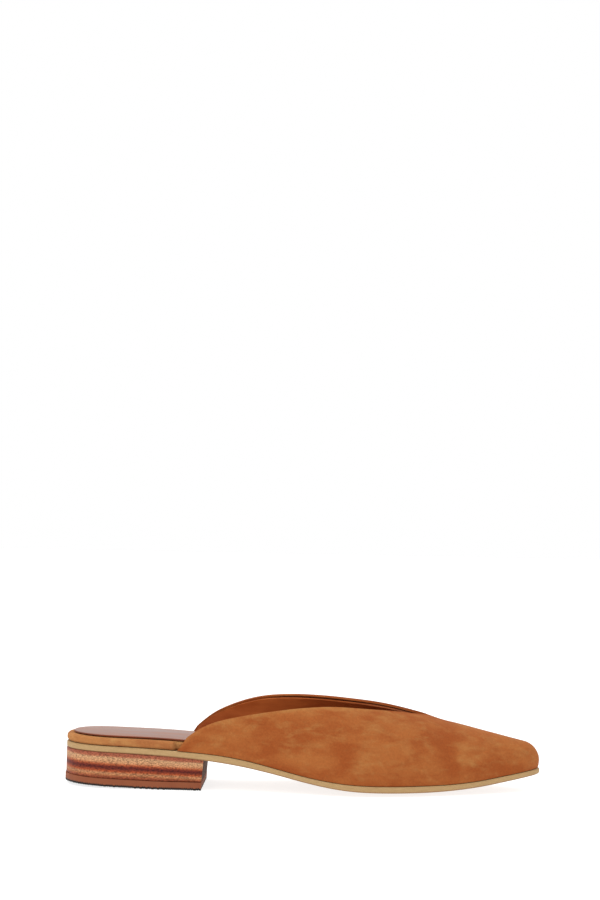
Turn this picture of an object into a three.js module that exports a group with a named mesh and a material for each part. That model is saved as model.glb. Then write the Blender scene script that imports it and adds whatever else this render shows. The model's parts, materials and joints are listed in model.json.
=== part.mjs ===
// Mule shoe, right foot: pointed low-cut suede vamp, suede-wrapped insole with a leather sock
// lining, leather outsole and a low stacked heel with a rubber top piece.
// Units are millimetres. +X runs from heel to toe, +Y to the inner side of the foot, +Z up.
// "along" is always the distance forward of the heel's back.

import * as THREE from 'three';

// ---------------------------------------------------------------------------------------------
// Driving dimensions
// ---------------------------------------------------------------------------------------------

const LENGTH = 267.2; // last, heel back to toe tip
const HEEL_REACH = 29; // how far forward the round of the heel seat runs
const TOE_REACH = 15; // how far back the round of the toe tip runs
const TOE_FROM = 236; // edges start to draw in here for the toe tip
const HEEL_POWER = 2.15; // roundness of the heel seat's outline, 2 is an ellipse
const TOE_POWER = 2.15; // roundness of the toe tip's outline

const WALL = 2.6; // suede folded over its lining
const GAP = 0.3; // clearance between neighbouring pieces
const SOCK_THICKNESS = 0.9;
const TOP_PIECE_THICKNESS = 4.4; // rubber lift that meets the ground

const SOLE_GROW_HEEL = -1.1; // sole edge past the last's outline at the seat
const SOLE_GROW_FOREPART = 0.3; // round the forepart
const SOLE_GROW_TOE = -0.5; // and at the toe tip
const SOLE_CORNER = 0.6; // rounding of the outsole's two edges
const RIM_INSET = 0.1; // insole's wrapped edge, inside the sole's edge
const INSOLE_INSET = 4.1; // insole's edge inside the last's outline, under the vamp
const INSOLE_INSET_TOE = 5.2; // and at the toe tip
const RIM_STEP = 3; // the rim steps in over this length, just behind the vamp
const SOCK_INSET_SEAT = 3.6; // sock lining's edge inside the insole's, at the seat
const SOCK_INSET_FOREPART = 0.8; // and under the vamp
const SOCK_INSET_TOE = 5.2; // and at the toe tip
const HEEL_TAPER = 0.5; // how much the block draws in from seat to top piece
const TOP_PIECE_GROW = 0.9; // top piece proud of the block

const BREAST_OUTER = 80.3; // heel breast, outer side
const BREAST_INNER = 79.2; // heel breast, inner side
const BREAST_LEAN = 0.9; // breast steps back from seat to ground
const HEEL_FLAT_FROM = 58; // the top piece is flat on the ground from here to the breast
const HEEL_BACK_RISE = 1.9; // and rises this much to the back
const HEEL_ROLL_POWER = 1.15; // 1 would be a straight rise
const CAMBER_POWER = 2.4; // roundness of the outsole's underside from side to side

const FEATHER_TUCK = 0.026; // the wall draws in by this share where it meets the sole
const FEATHER_TUCK_TOE = 0.085; // and by this share at the toe tip
const TUCK_FROM = THREE.MathUtils.degToRad(66);
const FAN_FROM = 190; // past here the cross lines of the vamp fan round the toe

const VAMP_BACK_OUTER = { sole: 65.8, corner: 71.5 };
const VAMP_BACK_INNER = { sole: 66.5, corner: 72.5 };
const THROAT = 203.5;

const OUTER = -1; // the outer (lateral) side lies at -Y
const INNER = 1;

// Outline of the last seen from above: middle line and half width.
const OUTLINE = [
  { along: 0, middle: 0.2, half: 28.2 },
  { along: 30, middle: 0.0, half: 28.3 },
  { along: 60, middle: -1.0, half: 27.4 },
  { along: 90, middle: -2.8, half: 26.2 },
  { along: 120, middle: -3.7, half: 28.3 },
  { along: 145, middle: -2.6, half: 34.2 },
  { along: 165, middle: -1.0, half: 38.1 },
  { along: 182, middle: 0.6, half: 37.6 },
  { along: 205, middle: 2.2, half: 32.2 },
  { along: 230, middle: 3.4, half: 23.6 },
  { along: 250, middle: 4.2, half: 15.4 },
  { along: LENGTH, middle: 4.6, half: 9.6 },
];

// Side profile: underside of the outsole at its edge, how much lower its middle is, the outsole's
// thickness at its edge, and the height of the last's ridge.
const PROFILE = [
  { along: 0, edge: 20.2, camber: 0, thick: 3.4, ridge: 62 },
  { along: 20, edge: 19.7, camber: 0, thick: 3.4, ridge: 68 },
  { along: 50, edge: 18.6, camber: 0, thick: 3.4, ridge: 73 },
  { along: 76, edge: 16.9, camber: 0.1, thick: 3.4, ridge: 74 },
  { along: 90, edge: 15.4, camber: 0.5, thick: 3.6, ridge: 73 },
  { along: 105, edge: 13.2, camber: 0.9, thick: 3.4, ridge: 70.5 },
  { along: 122, edge: 9.7, camber: 1.2, thick: 2.9, ridge: 66 },
  { along: 140, edge: 5.8, camber: 1.6, thick: 2.9, ridge: 60.3 },
  { along: 159, edge: 3.0, camber: 2.0, thick: 3.2, ridge: 54 },
  { along: 182, edge: 2.2, camber: 2.4, thick: 3.3, ridge: 47.5 },
  { along: THROAT, edge: 2.3, camber: 2.4, thick: 3.3, ridge: 41.4 },
  { along: 215, edge: 2.8, camber: 1.7, thick: 3.1, ridge: 38.0 },
  { along: 230, edge: 4.2, camber: 1.2, thick: 3.0, ridge: 34.2 },
  { along: 246, edge: 6.6, camber: 0.8, thick: 3.0, ridge: 29.7 },
  { along: LENGTH, edge: 10.5, camber: 0.5, thick: 2.5, ridge: 21.8 },
];

// Thickness of the suede-wrapped insole, from the heel seat to under the vamp.
const INSOLE = [
  { along: 0, thick: 4.3 },
  { along: 30, thick: 4.1 },
  { along: 62, thick: 4.6 },
  { along: 95, thick: 4.6 },
  { along: 170, thick: 3.4 },
];

// Height of the topline on each side, from the back corner of the vamp to the throat.
const TOPLINE_OUTER = [
  { along: 71.5, height: 29.3 },
  { along: 78, height: 34.1 },
  { along: 86, height: 37.4 },
  { along: 99, height: 40.5 },
  { along: 118, height: 43.8 },
  { along: 134, height: 45.9 },
  { along: 150, height: 46.7 },
  { along: 170, height: 45.4 },
  { along: 186, height: 43.9 },
  { along: THROAT, height: 41.4 },
];
const TOPLINE_INNER = [
  { along: 72.5, height: 30.5 },
  { along: 79, height: 36.5 },
  { along: 86, height: 40.5 },
  { along: 97, height: 45.1 },
  { along: 110, height: 48.6 },
  { along: 126, height: 49.9 },
  { along: 144, height: 49.5 },
  { along: 160, height: 48.3 },
  { along: 176, height: 46.8 },
  { along: 188, height: 44.8 },
  { along: THROAT, height: 41.4 },
];

// Roundness of the last's cross-sections, 2 is an ellipse.
const ROUNDNESS = [
  { along: 60, power: 2.0 },
  { along: 180, power: 2.0 },
  { along: 225, power: 2.1 },
  { along: LENGTH, power: 2.2 },
];

// ---------------------------------------------------------------------------------------------
// Curves of the last
// ---------------------------------------------------------------------------------------------

// A smooth curve through one column of a table, held level past both ends.
function curveThrough(rows, column) {
  const place = (row) => rows[row].along;
  const value = (row) => rows[row][column];
  const last = rows.length - 1;
  const slope = (row) => {
    const before = Math.max(row - 1, 0);
    const after = Math.min(row + 1, last);
    return (value(after) - value(before)) / (place(after) - place(before));
  };
  return (along) => {
    const clamped = THREE.MathUtils.clamp(along, place(0), place(last));
    let row = 0;
    while (row < last - 1 && clamped > place(row + 1)) row += 1;
    const span = place(row + 1) - place(row);
    const t = (clamped - place(row)) / span;
    const rise = value(row + 1) - value(row);
    const start = slope(row) * span - rise;
    const end = rise - slope(row + 1) * span;
    return value(row) + t * rise + t * (1 - t) * ((1 - t) * start + t * end);
  };
}

const middleLine = curveThrough(OUTLINE, 'middle');
const halfWidth = curveThrough(OUTLINE, 'half');
const soleEdge = curveThrough(PROFILE, 'edge');
const camber = curveThrough(PROFILE, 'camber');
const soleThickness = curveThrough(PROFILE, 'thick');
const ridge = curveThrough(PROFILE, 'ridge');
const insoleThickness = curveThrough(INSOLE, 'thick');
const roundness = curveThrough(ROUNDNESS, 'power');
const toplineHeight = {
  [OUTER]: curveThrough(TOPLINE_OUTER, 'height'),
  [INNER]: curveThrough(TOPLINE_INNER, 'height'),
};

// Share of the full width left at a distance from a rounded end.
function endRound(distance, reach, power) {
  const left = 1 - THREE.MathUtils.clamp(distance / reach, 0, 1);
  return Math.pow(1 - Math.pow(left, power), 1 / power);
}

// The outline's Y on one side, grown outwards by a few tenths of a millimetre.
function outlineY(side, along, grow) {
  const half = halfWidth(along) + grow;
  const heel = endRound(along + grow, HEEL_REACH + grow, HEEL_POWER);
  const toe = endRound(LENGTH + grow - along, TOE_REACH + grow, TOE_POWER);
  return middleLine(along) + side * half * heel * toe;
}

function soleTop(along) {
  return soleEdge(along) + soleThickness(along);
}

// From one growth in the forepart to another, reached just at the piece's own tip.
function growAtToe(along, forepart, tip) {
  const share = THREE.MathUtils.smoothstep(along, TOE_FROM, LENGTH + tip);
  return THREE.MathUtils.lerp(forepart, tip, share);
}

function soleGrow(along) {
  const pastSeat = THREE.MathUtils.smoothstep(along, 40, 110);
  const forepart = THREE.MathUtils.lerp(SOLE_GROW_HEEL, SOLE_GROW_FOREPART, pastSeat);
  return growAtToe(along, forepart, SOLE_GROW_TOE);
}

function featherHeight(along) {
  return soleTop(along) + GAP;
}

// Where the ridge point that belongs to an outline point lies: straight across, until the cross
// lines fan round the toe.
function ridgeAlong(along) {
  const share = Math.max(along - FAN_FROM, 0) / (LENGTH - FAN_FROM);
  return along - TOE_REACH * Math.pow(share, 3);
}

// A point on the last: angle 0 is on the ridge and 90 degrees is at the feather edge.
function lastPoint(side, along, angle) {
  const top = ridgeAlong(along);
  const power = roundness(along);
  const nearToe = THREE.MathUtils.smoothstep(along, TOE_FROM, LENGTH);
  const most = THREE.MathUtils.lerp(FEATHER_TUCK, FEATHER_TUCK_TOE, nearToe);
  const tuck = Math.max(angle - TUCK_FROM, 0) / (Math.PI / 2 - TUCK_FROM);
  const out = Math.pow(Math.sin(angle), 2 / power) * (1 - most * tuck * tuck);
  const up = Math.pow(Math.max(Math.cos(angle), 0), 2 / power);
  const x = THREE.MathUtils.lerp(top, along, out);
  const y = THREE.MathUtils.lerp(middleLine(top), outlineY(side, along, 0), out);
  const z = featherHeight(x) + (ridge(top) - featherHeight(top)) * up;
  return new THREE.Vector3(x, y, z);
}

// The angle at which the last reaches the topline's height.
function toplineAngle(side, along) {
  const rise = toplineHeight[side](along) - featherHeight(along);
  const share = Math.min(rise / (ridge(along) - featherHeight(along)), 1);
  return Math.acos(Math.pow(share, roundness(along) / 2));
}

// ---------------------------------------------------------------------------------------------
// Mesh helpers
// ---------------------------------------------------------------------------------------------

const SPINE_FROM_HEEL = 24; // the spine starts this far inside the heel's round
const SPINE_FROM_TOE = 10; // and ends this far inside the toe tip

function closedGeometry(points, triangles) {
  let volume = 0;
  const cross = new THREE.Vector3();
  for (const [a, b, c] of triangles) {
    volume += points[a].dot(cross.crossVectors(points[b], points[c]));
  }
  const facing = volume < 0 ? triangles.map(([a, b, c]) => [a, c, b]) : triangles;
  const geometry = new THREE.BufferGeometry();
  geometry.setFromPoints(points);
  geometry.setIndex(facing.flat());
  geometry.computeVertexNormals();
  return geometry;
}

// A slab inside an outline, made of rings that run from a spine on top, out to the edge, and back
// to a spine underneath. Every outline point belongs to one spine point, so both spines are rows
// of points that the two sides share.
function slab({ outer, inner, spine, rings }) {
  const last = spine.length - 1;
  const loop = 2 * last;
  const points = [];
  const starts = [];
  for (const ring of rings) {
    starts.push(points.length);
    const count = ring.share === 0 ? last + 1 : loop;
    for (let step = 0; step < count; step += 1) {
      const station = step <= last ? step : loop - step;
      const edge = step <= last ? outer[station] : inner[station];
      const pulled = edge.clone().lerp(spine[station], 1 - ring.share);
      const inset = ring.inset / Math.max(edge.distanceTo(spine[station]), ring.inset * 2);
      pulled.lerp(spine[station], ring.share === 0 ? 0 : inset);
      points.push(new THREE.Vector3(pulled.x, pulled.y, ring.height(pulled.x, pulled.y)));
    }
  }
  const index = (ring, step) => {
    const wrapped = step % loop;
    const folded = wrapped <= last ? wrapped : loop - wrapped;
    return starts[ring] + (rings[ring].share === 0 ? folded : wrapped);
  };
  const triangles = [];
  for (let ring = 0; ring < rings.length - 1; ring += 1) {
    for (let step = 0; step < loop; step += 1) {
      const a = index(ring, step);
      const b = index(ring, step + 1);
      const c = index(ring + 1, step + 1);
      const d = index(ring + 1, step);
      triangles.push([a, b, c], [a, c, d]);
    }
  }
  return closedGeometry(points, triangles);
}

// The rings of a slab: shares of the width on both faces, and a small round at both edges.
function slabRings({ shares, corner, top, bottom }) {
  const face = (height) => shares.map((share) => ({ share, inset: 0, height }));
  const upperFace = face(top);
  const lowerFace = face(bottom).reverse();
  const edge = [
    { share: 1, inset: corner, height: top },
    { share: 1, inset: 0, height: (x, y) => top(x, y) - corner },
    { share: 1, inset: 0, height: (x, y) => bottom(x, y) + corner },
    { share: 1, inset: corner, height: bottom },
  ];
  return [...upperFace, ...edge, ...lowerFace];
}

// Distances along a piece, close together at both of its round ends.
function stations(from, to, count) {
  const step = Math.PI / count;
  return Array.from({ length: count + 1 }, (_, k) => {
    return from + ((to - from) * (1 - Math.cos(step * k))) / 2;
  });
}

// The spine under an outline, drawn in from both round ends.
function spineUnder(alongs) {
  const from = alongs[0];
  const to = alongs[alongs.length - 1];
  return alongs.map((along) => {
    const t = (along - from) / (to - from);
    const x = along + SPINE_FROM_HEEL * Math.pow(1 - t, 5) - SPINE_FROM_TOE * Math.pow(t, 8);
    return new THREE.Vector3(x, middleLine(x), 0);
  });
}

// ---------------------------------------------------------------------------------------------
// Outsole
// ---------------------------------------------------------------------------------------------

function soleBottom(x, y) {
  const half = Math.max(halfWidth(x), 1);
  const across = Math.min(Math.abs(y - middleLine(x)) / half, 1);
  const drop = camber(x) * (1 - Math.pow(across, CAMBER_POWER));
  return Math.max(soleEdge(x) - drop, 0);
}

function makeOutsole() {
  const alongs = stations(-SOLE_GROW_HEEL, LENGTH + SOLE_GROW_TOE, 44);
  const side = (sign) => alongs.map((along) => {
    return new THREE.Vector3(along, outlineY(sign, along, soleGrow(along)), 0);
  });
  return slab({
    outer: side(OUTER),
    inner: side(INNER),
    spine: spineUnder(alongs),
    rings: slabRings({
      shares: [0, 0.3, 0.62, 0.85],
      corner: SOLE_CORNER,
      top: soleTop,
      bottom: soleBottom,
    }),
  });
}

// ---------------------------------------------------------------------------------------------
// Heel block and top piece
// ---------------------------------------------------------------------------------------------

function groundLine(along) {
  const share = Math.max(HEEL_FLAT_FROM - along, 0) / HEEL_FLAT_FROM;
  return HEEL_BACK_RISE * Math.pow(share, HEEL_ROLL_POWER);
}

// A D-shaped outline: round the back, forward along both sides, and across the breast. Its spine
// runs from the middle of the round to just inside the breast.
function heelSlab({ grow, leanTop, leanBottom, taper, corner, top, bottom }) {
  const sideSteps = 18;
  const breastSteps = 4;
  const spineBreast = 18;
  const spineEnd = 6;
  const breastMiddle = (BREAST_OUTER + BREAST_INNER) / 2;
  const quarter = Math.PI / 2 / sideSteps;
  const breast = { [OUTER]: BREAST_OUTER, [INNER]: BREAST_INNER };
  const side = (sign) => {
    const points = [];
    for (let step = 0; step <= sideSteps; step += 1) {
      const along = (breast[sign] + grow) * (1 - Math.cos(quarter * step)) - grow;
      points.push(new THREE.Vector3(along, outlineY(sign, along, grow), 0));
    }
    const cornerPoint = points[sideSteps];
    const centre = new THREE.Vector3(breastMiddle, middleLine(breastMiddle), 0);
    for (let step = 1; step <= breastSteps; step += 1) {
      points.push(cornerPoint.clone().lerp(centre, step / breastSteps));
    }
    return points;
  };
  const outer = side(OUTER);
  const inner = side(INNER);
  const spine = outer.map((_, step) => {
    const share = Math.min(step / sideSteps, 1);
    const past = Math.max(step - sideSteps, 0) / breastSteps;
    const x = THREE.MathUtils.lerp(SPINE_FROM_HEEL, breastMiddle - spineBreast, share * share)
      + past * (spineBreast - spineEnd);
    return new THREE.Vector3(x, middleLine(x), 0);
  });
  const rings = slabRings({ shares: [0, 0.5, 0.85], corner, top, bottom });
  const geometry = slab({ outer, inner, spine, rings });
  const position = geometry.attributes.position;
  const heights = { top: top(breastMiddle, 0), bottom: bottom(breastMiddle, 0) };
  for (let vertex = 0; vertex < position.count; vertex += 1) {
    const down = (heights.top - position.getZ(vertex)) / (heights.top - heights.bottom);
    const share = THREE.MathUtils.clamp(down, 0, 1);
    const x = position.getX(vertex);
    const y = position.getY(vertex);
    const forward = THREE.MathUtils.clamp(x / breastMiddle, 0, 1);
    const lean = THREE.MathUtils.lerp(leanTop, leanBottom, share) * forward * forward;
    const pull = 1 - (taper * share) / halfWidth(0);
    position.setX(vertex, x - lean);
    position.setY(vertex, middleLine(x) + (y - middleLine(x)) * pull);
  }
  geometry.computeVertexNormals();
  return geometry;
}

function makeHeelStack() {
  return heelSlab({
    grow: SOLE_GROW_HEEL,
    leanTop: 0,
    leanBottom: BREAST_LEAN,
    taper: HEEL_TAPER,
    corner: 0.3,
    top: (x, y) => soleBottom(x, y) - GAP,
    bottom: (x) => groundLine(x) + TOP_PIECE_THICKNESS + GAP,
  });
}

function makeHeelTopPiece() {
  const draft = 0.2;
  return heelSlab({
    grow: SOLE_GROW_HEEL - HEEL_TAPER + TOP_PIECE_GROW,
    leanTop: BREAST_LEAN,
    leanBottom: BREAST_LEAN + draft,
    taper: draft,
    corner: 0.2,
    top: (x) => groundLine(x) + TOP_PIECE_THICKNESS,
    bottom: groundLine,
  });
}

// ---------------------------------------------------------------------------------------------
// Insole and sock lining
// ---------------------------------------------------------------------------------------------

function insoleTop(along) {
  return soleTop(along) + GAP + insoleThickness(along);
}

// The edge shows as a rim at the seat and steps in just behind the vamp's wall.
function insoleGrow(side, along) {
  const vampBack = side === OUTER ? VAMP_BACK_OUTER.sole : VAMP_BACK_INNER.sole;
  const share = THREE.MathUtils.smoothstep(along, vampBack - RIM_STEP - GAP, vampBack - GAP);
  const forepart = growAtToe(along, -INSOLE_INSET, -INSOLE_INSET_TOE);
  return THREE.MathUtils.lerp(SOLE_GROW_HEEL - RIM_INSET, forepart, share);
}

function sockGrow(along) {
  const share = THREE.MathUtils.smoothstep(along, 50, 72);
  const seat = SOLE_GROW_HEEL - RIM_INSET - SOCK_INSET_SEAT;
  const tip = -INSOLE_INSET_TOE - SOCK_INSET_TOE;
  const forepart = growAtToe(along, -INSOLE_INSET - SOCK_INSET_FOREPART, tip);
  return THREE.MathUtils.lerp(seat, forepart, share);
}

function makeInsole() {
  const behindVamp = [0, 1, 2, 3].map((step) => VAMP_BACK_INNER.sole - GAP - step);
  const even = stations(RIM_INSET - SOLE_GROW_HEEL, LENGTH - INSOLE_INSET_TOE, 40);
  const alongs = [...even, ...behindVamp].sort((a, b) => a - b);
  const side = (sign) => alongs.map((along) => {
    return new THREE.Vector3(along, outlineY(sign, along, insoleGrow(sign, along)), 0);
  });
  return slab({
    outer: side(OUTER),
    inner: side(INNER),
    spine: spineUnder(alongs),
    rings: slabRings({
      shares: [0, 0.5, 0.88],
      corner: 1.1,
      top: insoleTop,
      bottom: (x) => soleTop(x) + GAP,
    }),
  });
}

function makeSockLining() {
  const back = RIM_INSET - SOLE_GROW_HEEL + SOCK_INSET_SEAT;
  const alongs = stations(back, LENGTH - INSOLE_INSET_TOE - SOCK_INSET_TOE, 36);
  const side = (sign) => alongs.map((along) => {
    return new THREE.Vector3(along, outlineY(sign, along, sockGrow(along)), 0);
  });
  return slab({
    outer: side(OUTER),
    inner: side(INNER),
    spine: spineUnder(alongs),
    rings: slabRings({
      shares: [0, 0.45, 0.85],
      corner: 0.35,
      top: (x) => insoleTop(x) + GAP + SOCK_THICKNESS,
      bottom: (x) => insoleTop(x) + GAP,
    }),
  });
}

// ---------------------------------------------------------------------------------------------
// Upper: one vamp, hollow, open at the back, the throat and underneath
// ---------------------------------------------------------------------------------------------

const UPPER_ROWS = 12;
const COLUMNS_TO_THROAT = 26;
const COLUMNS_PAST_THROAT = 16;
const FEATHER_CROWDING = 1.3; // above 1, columns stand closer together towards the throat
const TOPLINE_CROWDING = 1.7;

// The outer skin as columns that climb from the feather edge to the topline, or past the throat to
// the ridge, where the two sides share their points.
function upperSkin() {
  const tip = COLUMNS_TO_THROAT + COLUMNS_PAST_THROAT;
  const backs = { [OUTER]: VAMP_BACK_OUTER, [INNER]: VAMP_BACK_INNER };
  const columnPoint = (side, column, row) => {
    const climb = row / UPPER_ROWS;
    if (column >= COLUMNS_TO_THROAT) {
      const past = (column - COLUMNS_TO_THROAT) / COLUMNS_PAST_THROAT;
      const along = THREE.MathUtils.lerp(THROAT, LENGTH, Math.sin((past * Math.PI) / 2));
      return lastPoint(side, along, (1 - climb) * (Math.PI / 2));
    }
    const left = 1 - column / COLUMNS_TO_THROAT;
    const low = THREE.MathUtils.lerp(THROAT, backs[side].sole, Math.pow(left, FEATHER_CROWDING));
    const high = THREE.MathUtils.lerp(THROAT, backs[side].corner, Math.pow(left, TOPLINE_CROWDING));
    const along = THREE.MathUtils.lerp(low, high, climb);
    const angle = THREE.MathUtils.lerp(Math.PI / 2, toplineAngle(side, high), climb);
    return lastPoint(side, along, angle);
  };
  const points = [];
  const index = new Map();
  const vertex = (side, column, row) => {
    const shared = column === tip || (row === UPPER_ROWS && column >= COLUMNS_TO_THROAT);
    const key = `${shared ? 0 : side}:${column}:${row}`;
    if (!index.has(key)) {
      index.set(key, points.length);
      points.push(columnPoint(side, column, row));
    }
    return index.get(key);
  };
  const triangles = [];
  for (const side of [OUTER, INNER]) {
    for (let column = 0; column < tip; column += 1) {
      for (let row = 0; row < UPPER_ROWS; row += 1) {
        const corners = [
          vertex(side, column, row),
          vertex(side, column + 1, row),
          vertex(side, column + 1, row + 1),
          vertex(side, column, row + 1),
        ];
        if (side === INNER) corners.reverse();
        const [a, b, c, d] = corners;
        triangles.push([a, b, c], [a, c, d]);
      }
    }
  }
  return { points, triangles: triangles.filter(([a, b, c]) => a !== b && b !== c && c !== a) };
}

// Gives an open skin its wall: a second skin inside it, joined to it along every open edge.
function thicken({ points, triangles }, wall) {
  const normals = points.map(() => new THREE.Vector3());
  for (const [a, b, c] of triangles) {
    const first = points[b].clone().sub(points[a]);
    const face = first.cross(points[c].clone().sub(points[a]));
    for (const corner of [a, b, c]) normals[corner].add(face);
  }
  const inside = points.map((point, k) => {
    const normal = normals[k].clone();
    const onFeather = point.z < featherHeight(point.x) + 0.01;
    if (onFeather) normal.z = 0;
    const moved = point.clone().addScaledVector(normal.normalize(), -wall);
    if (onFeather) moved.z = featherHeight(moved.x);
    return moved;
  });
  const open = new Map();
  for (const corners of triangles) {
    corners.forEach((from, k) => {
      const to = corners[(k + 1) % 3];
      if (!open.delete(`${to}:${from}`)) open.set(`${from}:${to}`, [from, to]);
    });
  }
  const count = points.length;
  const all = [...triangles, ...triangles.map(([a, b, c]) => [a + count, c + count, b + count])];
  for (const [from, to] of open.values()) {
    all.push([to, from, from + count], [to, from + count, to + count]);
  }
  return closedGeometry([...points, ...inside], all);
}

function makeUpper() {
  return thicken(upperSkin(), WALL);
}

// ---------------------------------------------------------------------------------------------
// Assembly
// ---------------------------------------------------------------------------------------------

function piece(name, geometry, color, roughness) {
  const material = new THREE.MeshStandardMaterial({ color, roughness, metalness: 0 });
  const mesh = new THREE.Mesh(geometry, material);
  mesh.name = name;
  return mesh;
}

const shoe = new THREE.Group();
shoe.add(
  piece('upper', makeUpper(), 0xac6636, 0.95),
  piece('outsole', makeOutsole(), 0xbe9c6e, 0.6),
  piece('insole', makeInsole(), 0xa96438, 0.95),
  piece('sock_lining', makeSockLining(), 0x9a6548, 0.5),
  piece('heel_stack', makeHeelStack(), 0xb77550, 0.6),
  piece('heel_top_piece', makeHeelTopPiece(), 0x92543b, 0.75),
);

// The origin is on the ground under the middle of the shoe.
const bounds = new THREE.Box3().setFromObject(shoe, true);
const centre = bounds.getCenter(new THREE.Vector3());
shoe.position.set(-centre.x, -centre.y, -bounds.min.z);

export default shoe;
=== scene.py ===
import json
import math

import bpy
from mathutils import Matrix, Vector
from mathutils.kdtree import KDTree

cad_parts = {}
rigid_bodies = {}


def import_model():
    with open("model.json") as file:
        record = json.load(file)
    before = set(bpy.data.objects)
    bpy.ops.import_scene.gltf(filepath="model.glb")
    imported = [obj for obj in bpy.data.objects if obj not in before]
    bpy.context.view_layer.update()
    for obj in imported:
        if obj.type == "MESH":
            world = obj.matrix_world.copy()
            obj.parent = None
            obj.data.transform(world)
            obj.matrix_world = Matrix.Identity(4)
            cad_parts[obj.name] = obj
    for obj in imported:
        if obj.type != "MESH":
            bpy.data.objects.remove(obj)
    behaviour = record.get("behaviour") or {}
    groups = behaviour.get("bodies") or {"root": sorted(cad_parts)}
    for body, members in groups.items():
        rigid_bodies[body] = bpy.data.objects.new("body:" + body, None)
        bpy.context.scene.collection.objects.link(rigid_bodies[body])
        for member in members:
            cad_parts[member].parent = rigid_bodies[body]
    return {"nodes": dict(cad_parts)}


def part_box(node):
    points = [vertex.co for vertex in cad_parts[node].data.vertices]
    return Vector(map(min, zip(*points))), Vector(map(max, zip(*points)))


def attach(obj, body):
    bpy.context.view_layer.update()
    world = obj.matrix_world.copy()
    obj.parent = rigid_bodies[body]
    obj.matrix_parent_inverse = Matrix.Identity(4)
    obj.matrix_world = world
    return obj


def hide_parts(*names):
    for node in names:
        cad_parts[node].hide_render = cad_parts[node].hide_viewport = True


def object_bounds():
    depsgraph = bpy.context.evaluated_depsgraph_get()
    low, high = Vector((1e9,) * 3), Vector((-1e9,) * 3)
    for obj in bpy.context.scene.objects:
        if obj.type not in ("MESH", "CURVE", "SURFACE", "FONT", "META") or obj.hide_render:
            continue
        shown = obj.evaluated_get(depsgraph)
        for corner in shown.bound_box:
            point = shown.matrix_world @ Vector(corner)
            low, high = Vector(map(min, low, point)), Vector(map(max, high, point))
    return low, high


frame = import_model()
cad_low, cad_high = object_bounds()


# ---------------------------------------------------------------------------------------------
# Studio: the shoe stands alone on a white table, lit softly from below, in an evenly lit white
# room. The camera stands a metre off, nearly square to the outer side, a little above the heel.
# ---------------------------------------------------------------------------------------------

MM = 0.001


def linear(colour):
    """An sRGB hex colour as the linear RGBA that nodes take."""
    channels = [int(colour[k:k + 2], 16) / 255 for k in (0, 2, 4)]
    turned = [c / 12.92 if c <= 0.04045 else ((c + 0.055) / 1.055) ** 2.4 for c in channels]
    return (*turned, 1.0)


def add_node(material, kind, inputs=None, **settings):
    """Adds a node with its settings. An input is named or numbered, and is a value or an output.
    A colour Mix takes its share as input 0 and its colours as 6 and 7, and gives output 2."""
    node = material.node_tree.nodes.new(kind)
    for name, value in settings.items():
        setattr(node, name, value)
    for name, value in (inputs or {}).items():
        if isinstance(value, bpy.types.NodeSocket):
            material.node_tree.links.new(value, node.inputs[name])
        else:
            node.inputs[name].default_value = value
    return node


def new_material(name):
    """An empty node material, and its output node."""
    material = bpy.data.materials.new(name)
    material.use_nodes = True
    material.node_tree.nodes.clear()
    return material, add_node(material, "ShaderNodeOutputMaterial")


def finish_material(material, output, shader):
    material.node_tree.links.new(shader.outputs[0], output.inputs["Surface"])
    return material


CAMERA_PLACE = Vector((24.7, -949.4, 133.4)) * MM
CAMERA_YAW = math.radians(1.77)
CAMERA_PITCH = math.radians(3.33)
CAMERA_ROLL = math.radians(1.07)
LENS_LENGTH = 67.12  # millimetres, as the sensor's width is
SENSOR_WIDTH = 36

camera_data = bpy.data.cameras.new("camera")
camera_data.lens = LENS_LENGTH
camera_data.sensor_width = SENSOR_WIDTH
camera = bpy.data.objects.new("camera", camera_data)
camera.matrix_world = (
    Matrix.Translation(CAMERA_PLACE)
    @ Matrix.Rotation(CAMERA_YAW, 4, "Z")
    @ Matrix.Rotation(math.radians(90) + CAMERA_PITCH, 4, "X")
    @ Matrix.Rotation(CAMERA_ROLL, 4, "Z")
)
bpy.context.scene.collection.objects.link(camera)
bpy.context.scene.camera = camera
bpy.context.scene.view_settings.view_transform = "Standard"

world = bpy.data.worlds.new("white_room")
world.use_nodes = True
world.node_tree.nodes["Background"].inputs["Color"].default_value = (1, 1, 1, 1)
world.node_tree.nodes["Background"].inputs["Strength"].default_value = 1.0
bpy.context.scene.world = world


def add_light(name, kind, place, energy, **settings):
    """A lamp at a place in metres, aimed at the middle of the shoe. A sun's energy is in watts a
    square metre, and the others' is in watts."""
    data = bpy.data.lights.new(name, kind)
    data.energy = energy
    for setting, value in settings.items():
        setattr(data, setting, value)
    light = bpy.data.objects.new(name, data)
    light.location = place
    aim = (cad_low + cad_high) / 2 - Vector(place)
    light.rotation_euler = aim.to_track_quat("-Z", "Y").to_euler()
    bpy.context.scene.collection.objects.link(light)


add_light("softbox_over", "AREA", (-0.25, 0.15, 1.3), 6.0, shape="RECTANGLE", size=1.1, size_y=0.8)
add_light("softbox_front", "AREA", (-0.7, -1.2, 0.9), 3.0, shape="RECTANGLE", size=1.0, size_y=1.0)
add_light("room_glow", "SUN", (-0.3, -0.6, 1.0), 0.3, angle=math.radians(60))

TABLE_WIDTH = 60  # metres, so that its edge is far beyond the shoe in every view

bpy.ops.object.select_all(action="DESELECT")
bpy.ops.mesh.primitive_plane_add(size=TABLE_WIDTH, location=(0, 0, 0))
table_top = bpy.context.object
table_top.name = "table_top"
table_white, table_output = new_material("opal_acrylic")
table_shader = add_node(
    table_white, "ShaderNodeBsdfPrincipled",
    {
        "Base Color": linear("B0B0AF"), "Roughness": 0.9, "Specular IOR Level": 0.1,
        "Emission Color": linear("FFFFFF"), "Emission Strength": 0.8,
    },
)
table_top.data.materials.append(finish_material(table_white, table_output, table_shader))


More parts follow.
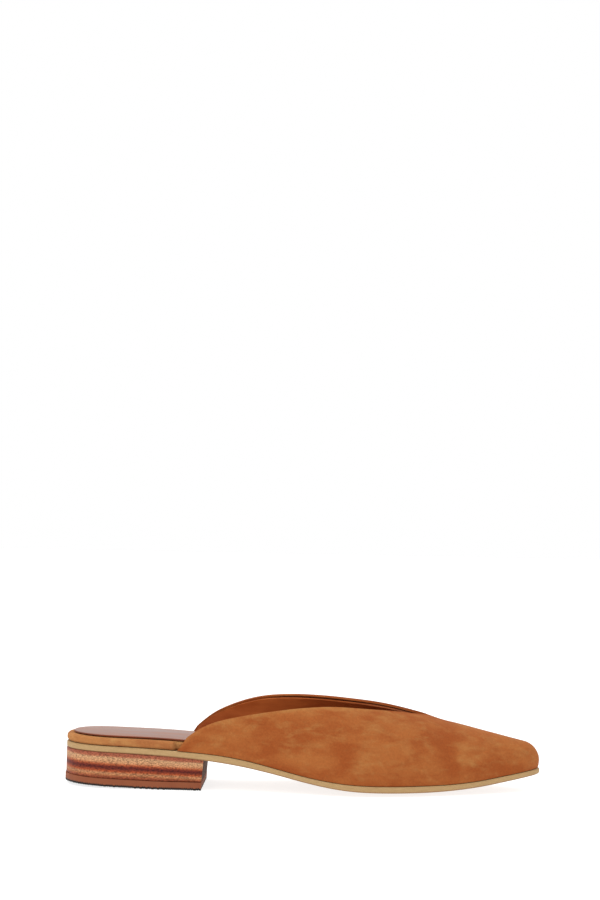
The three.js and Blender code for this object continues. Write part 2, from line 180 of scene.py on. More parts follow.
# ---------------------------------------------------------------------------------------------
# Insole: a fibre board with a strip of the vamp's suede wrapped tightly round its edge and glued
# under. The wrap shows as a rounded rim at the heel seat and runs in under the vamp.
# ---------------------------------------------------------------------------------------------

MERGE_GAP = 0.005 * MM


def make_active(piece):
    """Selects one piece alone, for the operators that follow."""
    bpy.ops.object.select_all(action="DESELECT")
    piece.select_set(True)
    bpy.context.view_layer.objects.active = piece


def start_from(node, name):
    """A copy of a CAD node's mesh under a new name, merged, with its quads given back."""
    piece = bpy.data.objects.new(name, frame["nodes"][node].data.copy())
    piece.data.name = name
    piece.data.materials.clear()
    bpy.context.scene.collection.objects.link(piece)
    make_active(piece)
    bpy.ops.mesh.customdata_custom_splitnormals_clear()
    bpy.ops.object.mode_set(mode="EDIT")
    bpy.ops.mesh.select_mode(type="FACE")
    bpy.ops.mesh.select_all(action="SELECT")
    bpy.ops.mesh.remove_doubles(threshold=MERGE_GAP)
    bpy.ops.mesh.mark_sharp(clear=True)
    bpy.ops.mesh.tris_convert_to_quads(
        face_threshold=math.radians(60), shape_threshold=math.radians(80)
    )
    bpy.ops.object.mode_set(mode="OBJECT")
    return piece


def apply_modifier(piece, kind, **settings):
    """Adds a modifier with its settings and applies it."""
    make_active(piece)
    modifier = piece.modifiers.new(kind.lower(), kind)
    for name, value in settings.items():
        setattr(modifier, name, value)
    bpy.ops.object.modifier_apply(modifier=modifier.name)


def crease_corners(piece, lowest, highest, crispness=1.0):
    """Keeps corners sharper than 30 degrees crisp under subdivision, where the normal's upward
    part is between these: 1 is a top face and -1 an underside."""
    bpy.ops.object.mode_set(mode="EDIT")
    bpy.ops.mesh.select_mode(type="EDGE")
    bpy.ops.mesh.select_all(action="DESELECT")
    bpy.ops.mesh.edges_select_sharp(sharpness=math.radians(30))
    bpy.ops.object.mode_set(mode="OBJECT")
    if "crease_edge" not in piece.data.attributes:
        piece.data.attributes.new("crease_edge", "FLOAT", "EDGE")
    creases = piece.data.attributes["crease_edge"].data
    for edge in piece.data.edges:
        upward = sum(piece.data.vertices[end].normal.z for end in edge.vertices) / 2
        if edge.select and lowest <= upward <= highest:
            creases[edge.index].value = crispness


def shade_smooth(piece, degrees):
    """Smooth shading, broken only where faces meet more sharply than this."""
    make_active(piece)
    bpy.ops.object.shade_smooth_by_angle(angle=math.radians(degrees))


def brushed_suede(name, deep, body, brushed_and_highlight):
    """Cow suede, split and sanded to a short pile. The pile lies in soft level patches that look darker
    or lighter, the fibres blur every highlight, and the surface glows a little at its outline. The vertex
    attribute that it reads holds painted light and shade: above 0 it lightens the suede as painted
    highlight, below 0 it darkens it as painted shade, and near -3 it paints the shade of the groove under
    the fold dark brown. Where the attribute is left out, nothing is painted."""
    patch = 15 * MM
    cloud = 5 * MM
    fleck = 1.1 * MM
    fibre = 0.45 * MM  # drawn coarser to show: the real fibres are finer than 0.1 mm
    # painted shade: the dark brown that the groove under the fold is painted
    groove_shade_brown = linear("35180A")
    material, output = new_material(name)
    place = add_node(material, "ShaderNodeTexCoord").outputs["Object"]
    painted_light = add_node(material, "ShaderNodeAttribute", attribute_name="painted_light").outputs["Fac"]
    level = add_node(
        material, "ShaderNodeMapping", {"Vector": place, "Scale": (0.55, 0.8, 1.25)}
    ).outputs[0]
    patches = add_node(
        material, "ShaderNodeTexNoise",
        {"Vector": level, "Scale": 1 / patch, "Detail": 4.0, "Roughness": 0.55, "Distortion": 0.4},
    ).outputs[0]
    clouds = add_node(
        material, "ShaderNodeTexNoise",
        {"Vector": level, "Scale": 1 / cloud, "Detail": 5.0, "Roughness": 0.62, "Distortion": 0.3},
    ).outputs[0]
    flecks = add_node(
        material, "ShaderNodeTexNoise",
        {"Vector": place, "Scale": 1 / fleck, "Detail": 3.0, "Roughness": 0.7},
    ).outputs[0]
    fibres = add_node(
        material, "ShaderNodeTexNoise",
        {"Vector": place, "Scale": 1 / fibre, "Detail": 2.0, "Roughness": 0.8},
    ).outputs[0]
    # The painted light attribute shifts both noises: below 0 towards the deep colour as painted shade,
    # above 0 towards the lighter colour as painted highlight.
    patch_level_with_painted_light = add_node(
        material, "ShaderNodeMath", {0: painted_light, 1: 0.16, 2: patches}, operation="MULTIPLY_ADD"
    ).outputs[0]
    cloud_level_with_painted_light = add_node(
        material, "ShaderNodeMath", {0: painted_light, 1: 0.2, 2: clouds}, operation="MULTIPLY_ADD"
    ).outputs[0]
    body_share_with_painted_light = add_node(
        material, "ShaderNodeMapRange",
        {"Value": patch_level_with_painted_light, "From Min": 0.33, "From Max": 0.64, "To Min": 0.0, "To Max": 1.0},
        interpolation_type="SMOOTHSTEP",
    ).outputs[0]
    lift_share_with_painted_light = add_node(
        material, "ShaderNodeMapRange",
        {"Value": cloud_level_with_painted_light, "From Min": 0.4, "From Max": 0.95, "To Min": 0.0, "To Max": 1.0},
        interpolation_type="SMOOTHSTEP",
    ).outputs[0]
    ground = add_node(
        material, "ShaderNodeMix",
        {0: body_share_with_painted_light, 6: linear(deep), 7: linear(body)},
        data_type="RGBA",
    ).outputs[2]
    tone_with_painted_light = add_node(
        material, "ShaderNodeMix",
        {0: lift_share_with_painted_light, 6: ground, 7: linear(brushed_and_highlight)},
        data_type="RGBA",
    ).outputs[2]
    # Painted shade in the groove under the fold, where the painted light attribute sinks below -1.7
    groove_shaded = add_node(
        material, "ShaderNodeMapRange",
        {"Value": painted_light, "From Min": -1.7, "From Max": -2.6, "To Min": 0.0, "To Max": 1.0},
    ).outputs[0]
    # the suede colour with the groove's painted shade mixed in
    dyed = add_node(
        material, "ShaderNodeMix",
        {0: groove_shaded, 6: tone_with_painted_light, 7: groove_shade_brown},
        data_type="RGBA",
    ).outputs[2]
    grain = add_node(
        material, "ShaderNodeMapRange",
        {"Value": flecks, "From Min": 0.25, "From Max": 0.75, "To Min": 0.86, "To Max": 1.12},
    ).outputs[0]
    colour = add_node(
        material, "ShaderNodeMix",
        {0: 1.0, 6: dyed, 7: grain},
        data_type="RGBA", blend_type="MULTIPLY",
    ).outputs[2]
    felt = add_node(
        material, "ShaderNodeBump",
        {"Height": fibres, "Strength": 0.7, "Distance": 0.12 * MM},
    ).outputs[0]
    relief = add_node(
        material, "ShaderNodeBump",
        {"Height": flecks, "Strength": 0.5, "Distance": 0.15 * MM, "Normal": felt},
    ).outputs[0]
    shader = add_node(
        material, "ShaderNodeBsdfPrincipled",
        {
            "Base Color": colour,
            "Roughness": 0.95,
            "Specular IOR Level": 0.15,
            "Sheen Weight": 0.14,
            "Sheen Roughness": 0.45,
            "Sheen Tint": linear("D89A64"),
            "Normal": relief,
        },
    )
    return finish_material(material, output, shader)


rim_suede = brushed_suede("rim_suede", "965A32", "A87040", "B58852")

insole_rim = start_from("insole", "insole_rim")
crease_corners(insole_rim, 0.0, 1.0, 0.45)
crease_corners(insole_rim, -1.0, 0.0)
apply_modifier(insole_rim, "SUBSURF", levels=2, render_levels=2)
shade_smooth(insole_rim, 60)
insole_rim.data.materials.append(rim_suede)
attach(insole_rim, "root")
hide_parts("insole")


# ---------------------------------------------------------------------------------------------
# Vamp: one piece of suede pulled over the last, lasted under at the feather edge, its topline and back
# edges skived thin and folded over the lining. Nothing is stitched. Its colour holds painted highlight
# along the outside of the fold and on crease ridges, and painted shade inside the fold, dark brown in the
# groove under the fold, along the feather edge and in crease troughs.
# ---------------------------------------------------------------------------------------------

SUEDE_THICKNESS = 1.5 * MM
LINING_THICKNESS = 0.9 * MM
LINING_STEP = 1.3 * MM  # from the fold down to the lining's cut edge
SHARP_CORNER = math.radians(60)
FOLD_ROUND = 0.5 * MM
CUT_ROUND = 0.3 * MM


def keep_skin(piece, facing):
    """Keeps one skin of the hollow vamp: all that joins, up to the sharp corners of the wall, the
    outermost face on the outer side that faces this way, -1 outwards or 1 inwards."""
    make_active(piece)
    bpy.ops.object.mode_set(mode="EDIT")
    bpy.ops.mesh.select_all(action="DESELECT")
    bpy.ops.mesh.select_mode(type="EDGE")
    bpy.ops.mesh.edges_select_sharp(sharpness=SHARP_CORNER)
    bpy.ops.mesh.mark_seam()
    bpy.ops.mesh.select_all(action="DESELECT")
    bpy.ops.mesh.select_mode(type="FACE")
    bpy.ops.object.mode_set(mode="OBJECT")
    facing_side = [face for face in piece.data.polygons if face.normal.y * facing > 0.5]
    min(facing_side, key=lambda face: face.center.y).select = True
    bpy.ops.object.mode_set(mode="EDIT")
    bpy.ops.mesh.select_linked(delimit={"SEAM"})
    bpy.ops.mesh.select_all(action="INVERT")
    bpy.ops.mesh.delete(type="FACE")
    bpy.ops.mesh.select_all(action="SELECT")
    bpy.ops.mesh.mark_seam(clear=True)
    bpy.ops.object.mode_set(mode="OBJECT")


def open_edge(piece):
    """Places close together along a skin's open edges."""
    steps = 8
    bpy.ops.object.mode_set(mode="EDIT")
    bpy.ops.mesh.select_mode(type="EDGE")
    bpy.ops.mesh.select_all(action="DESELECT")
    bpy.ops.mesh.select_non_manifold()
    bpy.ops.object.mode_set(mode="OBJECT")
    places = []
    for edge in piece.data.edges:
        if edge.select:
            start, end = (piece.data.vertices[k].co for k in edge.vertices)
            places += [start.lerp(end, step / steps) for step in range(steps)]
    return places


def distance_to(places):
    """A function that gives the distance from a place to the nearest of these."""
    tree = KDTree(len(places))
    for number, place in enumerate(places):
        tree.insert(place, number)
    tree.balance()
    return lambda place: tree.find(place)[2]


def fade(distance, reach):
    """Falls softly from 1 at no distance to 0 at the reach."""
    left = 1 - min(max(distance / reach, 0.0), 1.0)
    return left * left * (3 - 2 * left)


def crease_depth(place):
    """How deep the listed troughs are pressed into the vamp at a place, in metres."""
    forward = place.x - cad_low.x
    climb = (place.z - FEATHER_LOW) / (VAMP_TOP - FEATHER_LOW)
    depth = 0.0
    for crease in CREASES:
        lean = crease["lean"] * (climb - 0.5)
        across = fade(abs(forward - crease["at"] - lean), crease["reach"])
        depth += crease["depth"] * across * fade(abs(climb - crease["height"]), crease["tall"])
    return depth


def press_creases(piece):
    """Moves both faces of a wall together, straight towards the inside of the shoe."""
    for vertex in piece.data.vertices:
        inwards = Vector((0, vertex.co.y, vertex.co.z - FEATHER_LOW)).normalized()
        free = 1 - fade(to_feather(vertex.co), HELD_EDGE)
        vertex.co -= inwards * crease_depth(vertex.co) * free


HELD_EDGE = 5 * MM  # the feather edge is glued down, so the creases run out above it
FEATHER_TOP = 24.5 * MM  # the feather edge stays below this, and the topline and back edges above
FEATHER_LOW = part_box("upper")[0].z
VAMP_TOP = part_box("upper")[1].z
# Distance forward of the heel, half its length, depth (below 0 is a ridge), lean of its top to
# the front, middle and half height as shares of the vamp's height.
CREASES = (
    {"at": 212 * MM, "reach": 9 * MM, "depth": 0.6 * MM, "lean": -8 * MM, "height": 0.4, "tall": 0.7},
    {"at": 224 * MM, "reach": 10 * MM, "depth": -0.3 * MM, "lean": -6 * MM, "height": 0.3, "tall": 0.5},
    {"at": 157 * MM, "reach": 12 * MM, "depth": 0.4 * MM, "lean": 14 * MM, "height": 0.3, "tall": 0.4},
    {"at": 172 * MM, "reach": 12 * MM, "depth": -0.3 * MM, "lean": 14 * MM, "height": 0.25, "tall": 0.35},
    {"at": 110 * MM, "reach": 14 * MM, "depth": 0.4 * MM, "lean": 20 * MM, "height": 0.5, "tall": 0.3},
)
TOPLINE_BAND = 3.5 * MM  # painted highlight along the outside of the fold, and painted shade inside it, within this distance of the topline
FEATHER_BAND = 9 * MM  # and painted shade low on the wall, within this distance of the feather edge
LIP = 0.4 * MM  # how far the folded suede shows inside the topline
GROOVE_SHADE_BAND = 4 * MM  # its painted groove shade runs on behind the lining
GROOVE_SHADE_EDGE = 0.6 * MM
GROOVE_SHADE_START = 95 * MM  # forward of the heel; the painted groove shade fades out behind it
GROOVE_SHADE_FULL = 125 * MM
GROOVE_SHADE = -3.0  # what the painted light attribute says where the groove's painted shade is full
FOLD_HIGHLIGHT = 0.9  # painted highlight outside the fold
TURN_SHADE = -0.7  # painted shade inside it
# painted shade along the feather edge, darker low on the wall
FEATHER_SHADE = -0.6
SIDE_SLOPE = 0.45  # a face whose normal leans out by more than this is the outside
TROUGH_PER_SHADE = 0.8 * MM  # a trough this deep is painted darker by 1 as painted shade, and a ridge this high lighter as painted highlight


def painted_light_at(vertex):
    """How much painted light the suede takes here: painted highlight above 0 and painted shade below 0,
    from the fold, the feather edge and the creases.
    """
    outside = vertex.normal.y * math.copysign(1.0, vertex.co.y) > SIDE_SLOPE
    # painted highlight outside the fold, painted shade inside it
    at_fold = (FOLD_HIGHLIGHT if outside else TURN_SHADE) * fade(to_topline(vertex.co), TOPLINE_BAND)
    # painted shade, darker towards the feather edge
    at_feather = FEATHER_SHADE * fade(to_feather(vertex.co), FEATHER_BAND)
    # crease troughs are painted darker as painted shade, and ridges lighter as painted highlight
    return at_fold + at_feather - crease_depth(vertex.co) / TROUGH_PER_SHADE


def groove_shade_share(vertex):
    """How fully painted shade darkens the turn here, as the groove between the fold and the lining: on
    the inside, close under the fold, from the middle of the throat forwards, and clear of the feather
    edge."""
    forward = vertex.co.x - cad_low.x
    below_fold = math.sqrt(max(to_topline(vertex.co) ** 2 - SUEDE_THICKNESS ** 2, 0.0))
    on_turn = fade(LIP + GROOVE_SHADE_EDGE - below_fold, GROOVE_SHADE_EDGE) * fade(below_fold - GROOVE_SHADE_BAND, GROOVE_SHADE_EDGE)
    facing_down = fade(0.1 + vertex.normal.z, 0.1)
    off_feather = 1 - fade(to_feather(vertex.co) - GROOVE_SHADE_BAND, GROOVE_SHADE_EDGE)
    # the painted groove shade fades out towards the heel
    shade_forward = 1 - fade(forward - GROOVE_SHADE_START, GROOVE_SHADE_FULL - GROOVE_SHADE_START)
    return on_turn * facing_down * off_feather * shade_forward


vamp_tan = brushed_suede("vamp_suede", "8E481F", "9C5A2C", "A3703E")

vamp_suede = start_from("upper", "vamp_suede")
keep_skin(vamp_suede, -1)
vamp_edge = open_edge(vamp_suede)
to_topline = distance_to([place for place in vamp_edge if place.z > FEATHER_TOP])
to_feather = distance_to([place for place in vamp_edge if place.z <= FEATHER_TOP])
apply_modifier(vamp_suede, "SOLIDIFY", thickness=SUEDE_THICKNESS, offset=-1, use_even_offset=True)
apply_modifier(
    vamp_suede, "BEVEL",
    width=FOLD_ROUND, segments=2, limit_method="ANGLE", angle_limit=SHARP_CORNER,
)
apply_modifier(vamp_suede, "SUBSURF", levels=2, render_levels=2)
# Painted light and shade for each vertex of the suede: painted highlight along the outside of the fold
# and on crease ridges, painted shade inside the fold, along the feather edge, in crease troughs and in
# the groove under the fold.
painted_light = vamp_suede.data.attributes.new("painted_light", "FLOAT", "POINT")
for vertex in vamp_suede.data.vertices:
    painted_here = painted_light_at(vertex)
    painted_light.data[vertex.index].value = painted_here + (GROOVE_SHADE - painted_here) * groove_shade_share(vertex)
press_creases(vamp_suede)
shade_smooth(vamp_suede, 60)
vamp_suede.data.materials.append(vamp_tan)
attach(vamp_suede, "root")
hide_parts("upper")


# ---------------------------------------------------------------------------------------------
# Vamp lining: smooth brown calf glued to the inside of the vamp. Its cut edge stops just below
# the fold of the suede, and catches the light as a thin bright line.
# ---------------------------------------------------------------------------------------------

def smooth_calf(name, deep, body, roughness, shine):
    """Aniline-dyed calf, plated smooth. It has soft streaks of dye and a very fine pore, and an
    even low gloss that turns milky at a grazing angle."""
    streak = 9 * MM
    pore = 0.5 * MM  # drawn coarser to show: real pores are about 0.1 mm
    material, output = new_material(name)
    place = add_node(material, "ShaderNodeTexCoord").outputs["Object"]
    drawn = add_node(
        material, "ShaderNodeMapping", {"Vector": place, "Scale": (0.25, 1.0, 1.0)}
    ).outputs[0]
    streaks = add_node(
        material, "ShaderNodeTexNoise",
        {"Vector": drawn, "Scale": 1 / streak, "Detail": 4.0, "Roughness": 0.6},
    ).outputs[0]
    pores = add_node(
        material, "ShaderNodeTexNoise",
        {"Vector": place, "Scale": 1 / pore, "Detail": 2.0, "Roughness": 0.6},
    ).outputs[0]
    dye = add_node(
        material, "ShaderNodeMapRange",
        {"Value": streaks, "From Min": 0.35, "From Max": 0.65},
    ).outputs[0]
    colour = add_node(
        material, "ShaderNodeMix",
        {0: dye, 6: linear(deep), 7: linear(body)},
        data_type="RGBA",
    ).outputs[2]
    gloss = add_node(
        material, "ShaderNodeMapRange",
        {
            "Value": streaks, "From Min": 0.3, "From Max": 0.7,
            "To Min": roughness - 0.05, "To Max": roughness + 0.08,
        },
    ).outputs[0]
    grain = add_node(
        material, "ShaderNodeBump",
        {"Height": pores, "Strength": 0.25, "Distance": 0.05 * MM},
    ).outputs[0]
    shader = add_node(
        material, "ShaderNodeBsdfPrincipled",
        {
            "Base Color": colour, "Roughness": gloss,
            "Specular IOR Level": shine, "Specular Tint": linear("F4E2D0"), "Normal": grain,
        },
    )
    return finish_material(material, output, shader)


lining_calf = smooth_calf("lining_calf", "98481E", "B4602E", 0.45, 0.3)

vamp_lining = start_from("upper", "vamp_lining")
keep_skin(vamp_lining, 1)
bpy.ops.object.mode_set(mode="EDIT")
bpy.ops.mesh.select_all(action="SELECT")
bpy.ops.mesh.inset(thickness=LINING_STEP, use_boundary=True, use_even_offset=False)
bpy.ops.mesh.select_all(action="INVERT")
bpy.ops.mesh.delete(type="FACE")
bpy.ops.object.mode_set(mode="OBJECT")
apply_modifier(vamp_lining, "SOLIDIFY", thickness=LINING_THICKNESS, offset=-1)
apply_modifier(
    vamp_lining, "BEVEL",
    width=CUT_ROUND, segments=2, limit_method="ANGLE", angle_limit=SHARP_CORNER,
)
apply_modifier(vamp_lining, "SUBSURF", levels=2, render_levels=2)
press_creases(vamp_lining)
shade_smooth(vamp_lining, 60)
vamp_lining.data.materials.append(lining_calf)
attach(vamp_lining, "root")
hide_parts("upper")


# ---------------------------------------------------------------------------------------------
# Sock lining: the same calf, cut to shape and glued down inside the rim. Its cut edge is coloured darker.
# ---------------------------------------------------------------------------------------------

def side_faces(piece, lowest, highest):
    """The faces whose normal's upward part is between these."""
    return [face for face in piece.data.polygons if lowest <= face.normal.z <= highest]


sock_calf = smooth_calf("sock_calf", "6E3C24", "8A5238", 0.33, 0.5)
sock_edge = smooth_calf("darker_calf_edge", "5E2A14", "7A3A1E", 0.5, 0.3)

SOCK_CROWN = 0.8 * MM  # the board under it lifts its middle
SOCK_HALF = 24 * MM  # and not its edge, this far from the middle

sock = start_from("sock_lining", "sock")
crease_corners(sock, -1.0, 1.0)
apply_modifier(sock, "SUBSURF", levels=2, render_levels=2)
sock_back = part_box("sock_lining")[0].x
for vertex in sock.data.vertices:
    behind = max(sock_back + SOCK_HALF - vertex.co.x, 0.0)
    from_middle = min(math.hypot(behind, vertex.co.y) / SOCK_HALF, 1.0)
    vertex.co.z += SOCK_CROWN * (1 - from_middle * from_middle)
shade_smooth(sock, 60)
sock.data.materials.append(sock_calf)
sock.data.materials.append(sock_edge)
for face in side_faces(sock, -1.0, 0.75):
    face.material_index = 1
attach(sock, "root")
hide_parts("sock_lining")


# ---------------------------------------------------------------------------------------------
# Outsole: one piece of vegetable-tanned sole leather, cut, sanded along its edge and left
# natural. The grain side underneath is plated and shows as a thin brown line at the lower edge.
# ---------------------------------------------------------------------------------------------

def sole_leather(name, deep, body, roughness, layer):
    """Vegetable-tanned bend. The cut edge shows pale pressed fibres in fine level lines."""
    fleck = 1.2 * MM
    material, output = new_material(name)
    place = add_node(material, "ShaderNodeTexCoord").outputs["Object"]
    level = add_node(
        material, "ShaderNodeMapping", {"Vector": place, "Scale": (0.12, 0.12, 1.0)}
    ).outputs[0]
    lines = add_node(
        material, "ShaderNodeTexNoise",
        {"Vector": level, "Scale": 1 / layer, "Detail": 3.0, "Roughness": 0.6},
    ).outputs[0]
    flecks = add_node(
        material, "ShaderNodeTexNoise",
        {"Vector": place, "Scale": 1 / fleck, "Detail": 4.0, "Roughness": 0.7},
    ).outputs[0]
    tone = add_node(
        material, "ShaderNodeMath", {0: lines, 1: flecks}, operation="ADD"
    ).outputs[0]
    share = add_node(
        material, "ShaderNodeMapRange",
        {"Value": tone, "From Min": 0.7, "From Max": 1.3},
    ).outputs[0]
    colour = add_node(
        material, "ShaderNodeMix",
        {0: share, 6: linear(deep), 7: linear(body)},
        data_type="RGBA",
    ).outputs[2]
    grain = add_node(
        material, "ShaderNodeBump",
        {"Height": tone, "Strength": 0.4, "Distance": 0.08 * MM},
    ).outputs[0]
    shader = add_node(
        material, "ShaderNodeBsdfPrincipled",
        {
            "Base Color": colour, "Roughness": roughness,
            "Specular IOR Level": 0.35, "Normal": grain,
        },
    )
    return finish_material(material, output, shader)


sole_edge = sole_leather("natural_sole_edge", "9F7F54", "AE8E62", 0.7, 0.6 * MM)
sole_grain = sole_leather("sole_grain_side", "8A6440", "98744C", 0.5, 4 * MM)

sole = start_from("outsole", "leather_sole")
crease_corners(sole, -1.0, 1.0)
apply_modifier(sole, "SUBSURF", levels=2, render_levels=2)
shade_smooth(sole, 60)
sole.data.materials.append(sole_edge)
sole.data.materials.append(sole_grain)
for face in side_faces(sole, -1.0, -0.5):
    face.material_index = 1
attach(sole, "root")
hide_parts("outsole")


# ---------------------------------------------------------------------------------------------
# Stacked heel: a low block of pressed leather board lifts, one of them dyed maroon, sanded flush
# and waxed. It is nailed and glued up under the seat.
# ---------------------------------------------------------------------------------------------

GLUE_LINE = 0.26 * MM
SEAT_FALL = 3.6 * MM  # the seat is this much lower at the breast than at the back
FOOT_RISE = 1.9 * MM  # and the foot this much higher at the back
FOOT_FLAT = 0.77  # share of the length, from the back, where the foot comes level


def stacked_lifts(name):
    """Pressed leather board, sanded and waxed. Each lift is speckled light on reddish brown, and
    the bands follow the share of the height that the attribute 'down' gives."""
    speckle = 0.5 * MM
    waviness = 9 * MM
    stops = (
        (0.0, "824432"), (0.12, "905038"), (0.2, "AC835F"), (0.36, "AC7B56"), (0.46, "944A2A"),
        (0.54, "602014"), (0.61, "4C1710"), (0.67, "682818"), (0.75, "8E4020"), (0.85, "A0704C"),
        (0.93, "965A38"), (1.0, "804028"),
    )
    material, output = new_material(name)
    place = add_node(material, "ShaderNodeTexCoord").outputs["Object"]
    down = add_node(material, "ShaderNodeAttribute", attribute_name="down").outputs["Fac"]
    drawn = add_node(
        material, "ShaderNodeMapping", {"Vector": place, "Scale": (0.5, 0.5, 1.0)}
    ).outputs[0]
    drift = add_node(
        material, "ShaderNodeTexNoise",
        {"Vector": drawn, "Scale": 1 / waviness, "Detail": 2.0},
    ).outputs[0]
    shifted = add_node(
        material, "ShaderNodeMath", {0: drift, 1: 0.09, 2: down}, operation="MULTIPLY_ADD"
    ).outputs[0]
    bands = add_node(material, "ShaderNodeValToRGB", {"Fac": shifted})
    ramp = bands.color_ramp
    ramp.elements[0].color = linear(stops[0][1])
    ramp.elements[1].color = linear(stops[-1][1])
    for position, shade in stops[1:-1]:
        ramp.elements.new(position).color = linear(shade)
    specks = add_node(
        material, "ShaderNodeTexNoise",
        {"Vector": drawn, "Scale": 1 / speckle, "Detail": 2.0, "Roughness": 0.7},
    ).outputs[0]
    contrast = add_node(
        material, "ShaderNodeMapRange",
        {"Value": specks, "From Min": 0.37, "From Max": 0.63, "To Min": 0.5, "To Max": 1.6},
    ).outputs[0]
    colour = add_node(
        material, "ShaderNodeMix",
        {0: 1.0, 6: bands.outputs[0], 7: contrast},
        data_type="RGBA", blend_type="MULTIPLY",
    ).outputs[2]
    grain = add_node(
        material, "ShaderNodeBump",
        {"Height": specks, "Strength": 0.3, "Distance": 0.05 * MM},
    ).outputs[0]
    shader = add_node(
        material, "ShaderNodeBsdfPrincipled",
        {"Base Color": colour, "Roughness": 0.55, "Specular IOR Level": 0.15, "Normal": grain},
    )
    return finish_material(material, output, shader)


def dyed_breast(name):
    """The breast is cut across the lifts, then dyed and waxed to one dull greyish brown."""
    lift = 1.2 * MM
    material, output = new_material(name)
    place = add_node(material, "ShaderNodeTexCoord").outputs["Object"]
    level = add_node(
        material, "ShaderNodeMapping", {"Vector": place, "Scale": (0.1, 0.1, 1.0)}
    ).outputs[0]
    lifts = add_node(
        material, "ShaderNodeTexNoise",
        {"Vector": level, "Scale": 1 / lift, "Detail": 3.0, "Roughness": 0.6},
    ).outputs[0]
    colour = add_node(
        material, "ShaderNodeMix",
        {0: lifts, 6: linear("40281C"), 7: linear("604232")},
        data_type="RGBA",
    ).outputs[2]
    grain = add_node(
        material, "ShaderNodeBump",
        {"Height": lifts, "Strength": 0.3, "Distance": 0.06 * MM},
    ).outputs[0]
    shader = add_node(
        material, "ShaderNodeBsdfPrincipled",
        {"Base Color": colour, "Roughness": 0.7, "Specular IOR Level": 0.06, "Normal": grain},
    )
    return finish_material(material, output, shader)


def press_glue_lines(piece):
    """Closes the joints above and below a glued piece."""
    for vertex in piece.data.vertices:
        upward = vertex.normal.z
        if abs(upward) > 0.5:
            vertex.co.z += math.copysign(GLUE_LINE, upward)


stacked_heel = start_from("heel_stack", "stacked_heel")
crease_corners(stacked_heel, -1.0, 1.0)
apply_modifier(stacked_heel, "SUBSURF", levels=2, render_levels=2)
shade_smooth(stacked_heel, 50)
stack_low, stack_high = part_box("heel_stack")
down = stacked_heel.data.attributes.new("down", "FLOAT", "POINT")
for vertex in stacked_heel.data.vertices:
    forward = (vertex.co.x - stack_low.x) / (stack_high.x - stack_low.x)
    top = stack_high.z - SEAT_FALL * forward
    foot = stack_low.z + FOOT_RISE * (1 - min(forward / FOOT_FLAT, 1.0))
    down.data[vertex.index].value = min(max((top - vertex.co.z) / (top - foot), 0.0), 1.0)
stacked_heel.data.materials.append(stacked_lifts("stacked_lifts"))
stacked_heel.data.materials.append(dyed_breast("dyed_breast"))
for face in stacked_heel.data.polygons:
    if face.normal.x > 0.7:
        face.material_index = 1
press_glue_lines(stacked_heel)
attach(stacked_heel, "root")
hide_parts("heel_stack")


# ---------------------------------------------------------------------------------------------
# Top piece: the brown rubber lift that walks on the ground, moulded with a thin black ribbed face and cut
# to shape. The ribs run across the heel and show as teeth along its lower edge. The black is partly
# painted shade: it stands in for the dark shade under the heel and in the rib grooves.
# ---------------------------------------------------------------------------------------------

RIB_PITCH = 1.05 * MM
RIB_DEPTH_EDGE = 0.9 * MM
RIB_DEPTH_MIDDLE = 0.4 * MM  # the grooves are shallower under the middle
RIB_SOLE = 0.9 * MM  # thickness of the black face, whose black is also painted shade under the heel
ON_LINE = 0.02  # of half a rib


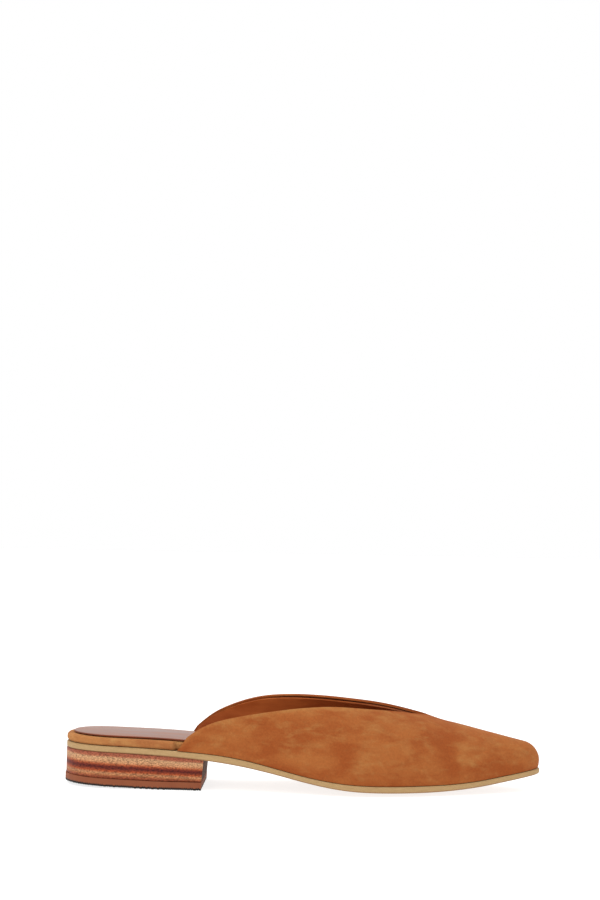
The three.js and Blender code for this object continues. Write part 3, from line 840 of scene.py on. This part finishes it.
def moulded_rubber(name, deep, body, black_face_and_shade):
    """Moulded rubber sheet, cut and sanded at the edge: dull, even, with a faint bloom. It is black where
    the attribute 'rise', its height above the ribbed face, is below RIB_SOLE. That black is the ribbed
    face and also painted shade for the dark band under the heel."""
    cloud = 6 * MM
    grit = 0.4 * MM
    material, output = new_material(name)
    place = add_node(material, "ShaderNodeTexCoord").outputs["Object"]
    rise = add_node(material, "ShaderNodeAttribute", attribute_name="rise").outputs["Fac"]
    bloom = add_node(
        material, "ShaderNodeTexNoise",
        {"Vector": place, "Scale": 1 / cloud, "Detail": 4.0, "Roughness": 0.6},
    ).outputs[0]
    sanding = add_node(
        material, "ShaderNodeTexNoise",
        {"Vector": place, "Scale": 1 / grit, "Detail": 2.0},
    ).outputs[0]
    wall = add_node(
        material, "ShaderNodeMix",
        {0: bloom, 6: linear(deep), 7: linear(body)},
        data_type="RGBA",
    ).outputs[2]
    # painted shade: the black face also stands in for the shade under the heel and in the rib grooves
    ribbed = add_node(
        material, "ShaderNodeMath", {0: rise, 1: RIB_SOLE}, operation="LESS_THAN"
    ).outputs[0]
    colour = add_node(
        material, "ShaderNodeMix",
        {0: ribbed, 6: wall, 7: linear(black_face_and_shade)},
        data_type="RGBA",
    ).outputs[2]
    grain = add_node(
        material, "ShaderNodeBump",
        {"Height": sanding, "Strength": 0.4, "Distance": 0.05 * MM},
    ).outputs[0]
    shader = add_node(
        material, "ShaderNodeBsdfPrincipled",
        {"Base Color": colour, "Roughness": 0.7, "Specular IOR Level": 0.25, "Normal": grain},
    )
    return finish_material(material, output, shader)


top_piece = start_from("heel_top_piece", "rubber_top_piece")
crease_corners(top_piece, -1.0, 1.0)
apply_modifier(top_piece, "SUBSURF", levels=1, render_levels=1)
heel_low, heel_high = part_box("heel_top_piece")
rib_count = int((heel_high.x - heel_low.x) / RIB_PITCH)
bpy.ops.object.mode_set(mode="EDIT")
for half_rib in range(1, 2 * rib_count):
    rib_line = heel_low.x + half_rib * RIB_PITCH / 2
    bpy.ops.mesh.select_all(action="SELECT")
    bpy.ops.mesh.bisect(plane_co=(rib_line, 0, 0), plane_no=(1, 0, 0))
bpy.ops.object.mode_set(mode="OBJECT")
side_wall = {index for face in side_faces(top_piece, -0.5, 0.5) for index in face.vertices}
underside = {index for face in side_faces(top_piece, -1.0, -0.5) for index in face.vertices}
walked_face = KDTree(len(underside))
for index in underside:
    walked_face.insert(top_piece.data.vertices[index].co * Vector((1, 1, 0)), index)
walked_face.balance()
rise = top_piece.data.attributes.new("rise", "FLOAT", "POINT")
for vertex in top_piece.data.vertices:
    below = walked_face.find(vertex.co * Vector((1, 1, 0)))[1]
    rise.data[vertex.index].value = vertex.co.z - top_piece.data.vertices[below].co.z
for index in underside:
    vertex = top_piece.data.vertices[index]
    half_ribs = (vertex.co.x - heel_low.x) / (RIB_PITCH / 2)
    in_groove = round(half_ribs) % 2 == 1
    if in_groove and abs(half_ribs - round(half_ribs)) < ON_LINE:
        vertex.co.z += RIB_DEPTH_EDGE if index in side_wall else RIB_DEPTH_MIDDLE
shade_smooth(top_piece, 25)
top_piece.data.materials.append(moulded_rubber("moulded_rubber", "793D25", "8A4F30", "120D0A"))
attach(top_piece, "root")
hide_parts("heel_top_piece")
